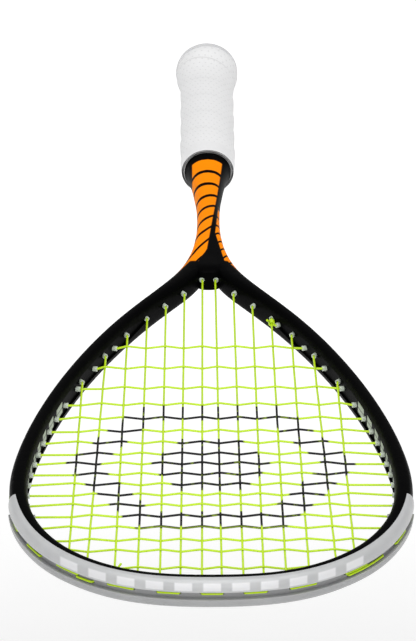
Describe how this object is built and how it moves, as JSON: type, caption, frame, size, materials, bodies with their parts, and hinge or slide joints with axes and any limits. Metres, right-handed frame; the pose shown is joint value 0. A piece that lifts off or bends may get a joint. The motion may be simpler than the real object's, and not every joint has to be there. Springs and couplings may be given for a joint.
{
  "type": "squash racket",
  "caption": "Strung squash racket with a teardrop head that runs into an open V throat, a slim shaft and a wrapped round handle.",
  "frame": {"origin": "centre of the butt cap's end face, on the handle's axis and in the plane of the strings", "axes": "+Y out of the butt, so the head points along -Y; +Z square to the strings; +X across the head"},
  "size_m": [0.2136, 0.685, 0.04],
  "materials": {
    "carbon": "black painted carbon composite, satin gloss, with orange and white marks",
    "guard": "milky translucent moulded plastic",
    "grommet": "translucent moulded plastic",
    "string": "yellow-green multifilament with a glossy coat, black stencil ink in the middle",
    "staple": "bright steel wire",
    "pallet": "moulded polyurethane foam",
    "cap": "white rubber",
    "grip": "white perforated polyurethane wrap",
    "tape": "white adhesive tape"
  },
  "bodies": {
    "root": {"frame": "carbon", "bumper_guard": "guard", "grommet_strip_right": "grommet", "grommet_strip_left": "grommet", "throat_grommets_right": "grommet", "throat_grommets_left": "grommet", "string_mains": "string", "string_crosses": "string", "string_loops": "string", "string_tie_offs": "string", "butt_cap_staples": "staple", "pallet_upper": "pallet", "pallet_lower": "pallet", "butt_cap": "cap", "grip_wrap": "grip", "finishing_tape": "tape"}
  },
  "joints": []
}
